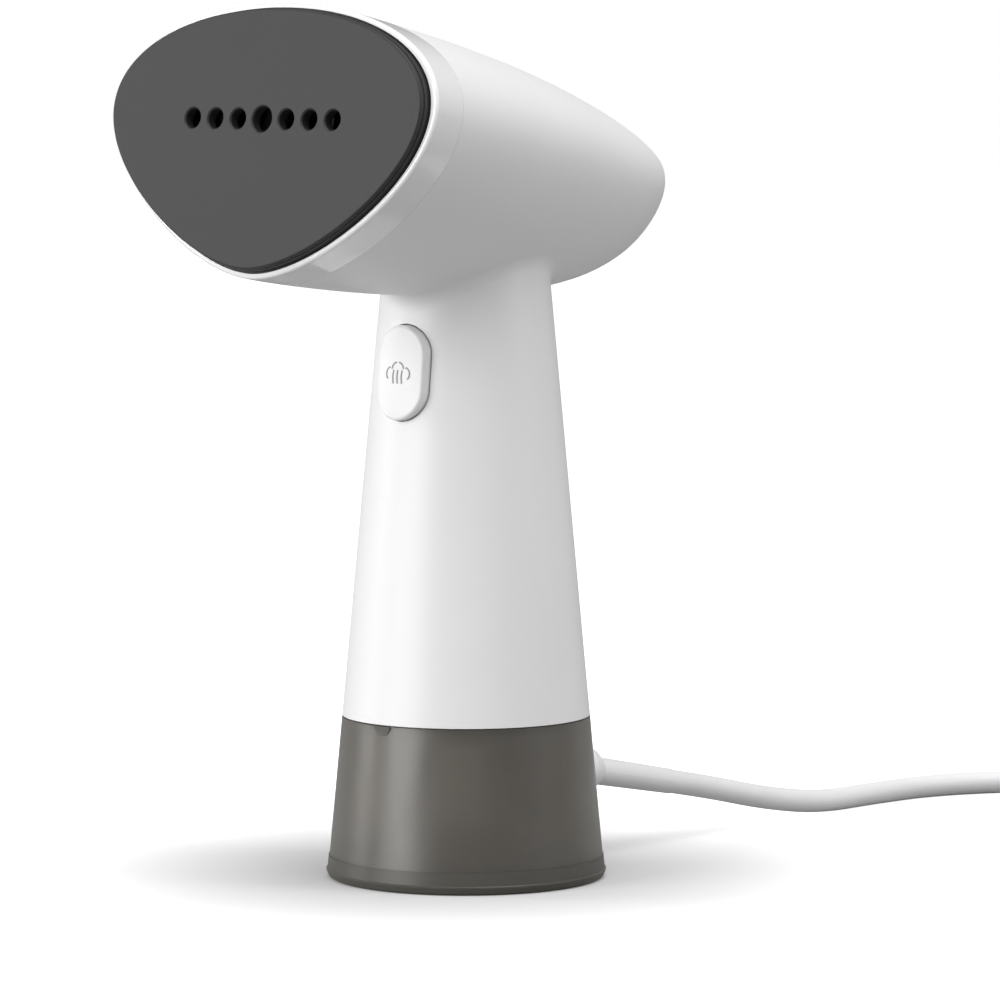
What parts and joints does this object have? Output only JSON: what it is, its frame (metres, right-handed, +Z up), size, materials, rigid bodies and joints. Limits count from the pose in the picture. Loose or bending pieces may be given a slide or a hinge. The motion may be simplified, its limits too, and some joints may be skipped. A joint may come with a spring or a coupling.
{
  "type": "garment steamer",
  "caption": "Upright handheld garment steamer: tilted steam head on a conical handle, front trigger, slide-off smoked water tank as its base, and a mains lead.",
  "frame": {"origin": "centre of the water tank's flat underside, on the surface it stands on", "axes": "+Z up along the handle, -Y towards the soleplate (front), +Y towards the mains lead (back), +X to the side"},
  "size_m": [0.2037, 0.345, 0.2292],
  "materials": {
    "white_casing": "satin white moulding",
    "white_gloss": "polished white moulding",
    "ceramic_plate": "smooth grey non-stick coating",
    "smoked_tank": "smoked translucent plastic, frosted",
    "smoked_base": "smoked plastic, darker",
    "black_rubber": "matt silicone",
    "clear_silicone": "milky silicone",
    "cast_aluminium": "as-cast",
    "dark_frame": "heat-resistant moulding",
    "grey_frame": "inner moulding",
    "steel": "bright steel",
    "brass": "machined",
    "copper_coil": "enamelled winding with tape",
    "board_green": "circuit board",
    "relay_blue": "relay and capacitor",
    "lead_white": "soft white sheath",
    "lead_inner": "inner insulation"
  },
  "bodies": {
    "handle": {"main_housing": "white_casing", "rear_cover": "white_casing", "front_bezel": "white_gloss", "base_cap": "grey_frame", "tank_seal": "black_rubber", "cover_screws": "steel", "cap_screws": "steel", "steam_plate": "ceramic_plate", "plate_gasket": "black_rubber", "chamber_seal": "black_rubber", "steam_chamber": "cast_aluminium", "chamber_frame": "dark_frame", "chamber_screws": "steel", "bezel_screws": "steel", "heating_element": "steel", "heater_pins": "brass", "thermostat": "dark_frame", "thermal_fuse": "brass", "water_inlet": "brass", "heat_shield": "cast_aluminium", "pump_body": "grey_frame", "pump_coil": "copper_coil", "pump_frame": "steel", "pump_spring": "steel", "inlet_hose": "clear_silicone", "outlet_hose": "clear_silicone", "suction_hose": "clear_silicone", "suction_weight": "steel", "chassis": "grey_frame", "trigger_frame": "grey_frame", "trigger_spring": "steel", "microswitch": "dark_frame", "switch_tags": "brass", "control_board": "board_green", "board_parts": "relay_blue", "board_screws": "steel", "heater_leads": "lead_inner", "inner_lead": "lead_inner", "cord_gland": "lead_white", "cord_tube": "lead_white", "cord_coil": "lead_white", "cord_tail": "lead_white", "plug_body": "lead_white", "plug_pins": "brass"},
    "tank": {"tank_shell": "smoked_tank", "tank_base": "smoked_base"},
    "trigger": {"trigger_button": "white_casing"},
    "switch": {"switch_plunger": "dark_frame"},
    "plunger": {"pump_plunger": "steel"}
  },
  "joints": [
    {"name": "tank_removal", "type": "slide", "parent": "handle", "child": "tank", "axis": [0, 0, -1], "range_m": [0, 0.065]},
    {"name": "trigger_press", "type": "slide", "parent": "handle", "child": "trigger", "axis": [0, 1, 0], "range_m": [0, 0.0018], "stiffness_N_per_m": 900, "springref_m": -0.0012, "deforming": ["trigger_spring"]},
    {"name": "switch_press", "type": "slide", "parent": "handle", "child": "switch", "axis": [0, 1, 0], "range_m": [0, 0.0018], "stiffness_N_per_m": 150, "springref_m": -0.0005},
    {"name": "pump_stroke", "type": "slide", "parent": "handle", "child": "plunger", "axis": [0, 0, 1], "range_m": [0, 0.0015], "stiffness_N_per_m": 300, "springref_m": -0.001, "deforming": ["pump_spring"]}
  ],
  "couplings": [
    {"joint": "switch_press", "follows": "trigger_press", "ratio": 1}
  ]
}
